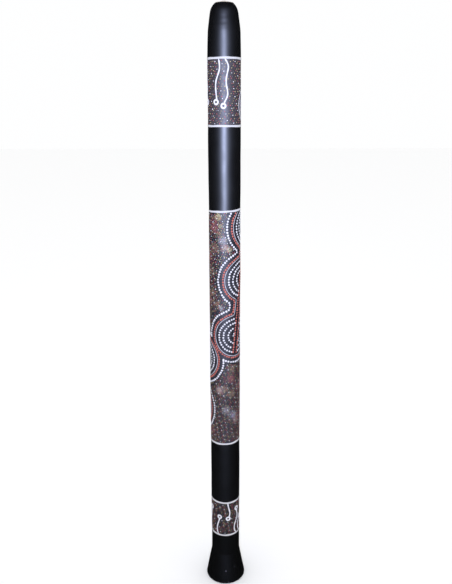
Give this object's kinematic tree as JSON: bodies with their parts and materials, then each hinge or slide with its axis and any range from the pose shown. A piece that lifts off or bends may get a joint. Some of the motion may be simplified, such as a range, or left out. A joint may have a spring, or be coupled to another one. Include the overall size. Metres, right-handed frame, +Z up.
{
  "type": "didgeridoo",
  "caption": "Wooden drone pipe with a beeswax mouthpiece, rounded neck and flared bell, in black lacquer with dotted bands between white rings.",
  "frame": {"origin": "centre of the bell's rim, on the surface that it stands on", "axes": "+Z up the bore axis to the mouthpiece, -Y the side with the front seam, +X to the right of it"},
  "size_m": [0.0848, 0.0848, 1.2],
  "materials": {
    "wood": "planed bare wood, brown, with lengthwise grain",
    "glue": "dried wood glue, amber, dull",
    "beeswax": "beeswax, beige, soft sheen",
    "black_lacquer": "black lacquer, satin",
    "ground_upper": "blackish brown paint with fine speckles, satin",
    "ground_middle": "blackish brown paint with cloudy spatter, satin",
    "ground_lower": "blackish brown paint with fine speckles, satin",
    "white_paint": "thick white acrylic paint, slightly uneven",
    "red_paint": "brick red acrylic paint, in raised dots",
    "rose_paint": "dark pink acrylic paint, in fine speckles",
    "gold_paint": "ochre gold acrylic paint, in fine speckles",
    "mauve_paint": "grey-violet acrylic paint, in the finest speckles",
    "silver_paint": "silver grey acrylic paint, in thin lines"
  },
  "bodies": {
    "root": {"body_half_left": "wood", "body_half_right": "wood", "glue_seam_front": "glue", "glue_seam_back": "glue", "beeswax_mouthpiece": "beeswax", "black_coat_neck": "black_lacquer", "dotted_ground_upper": "ground_upper", "black_coat_upper": "black_lacquer", "dotted_ground_middle": "ground_middle", "black_coat_lower": "black_lacquer", "dotted_ground_lower": "ground_lower", "black_coat_bell": "black_lacquer", "white_ring_1": "white_paint", "white_ring_2": "white_paint", "white_ring_3": "white_paint", "white_ring_4": "white_paint", "white_ring_5": "white_paint", "white_ring_6": "white_paint"}
  },
  "joints": []
}
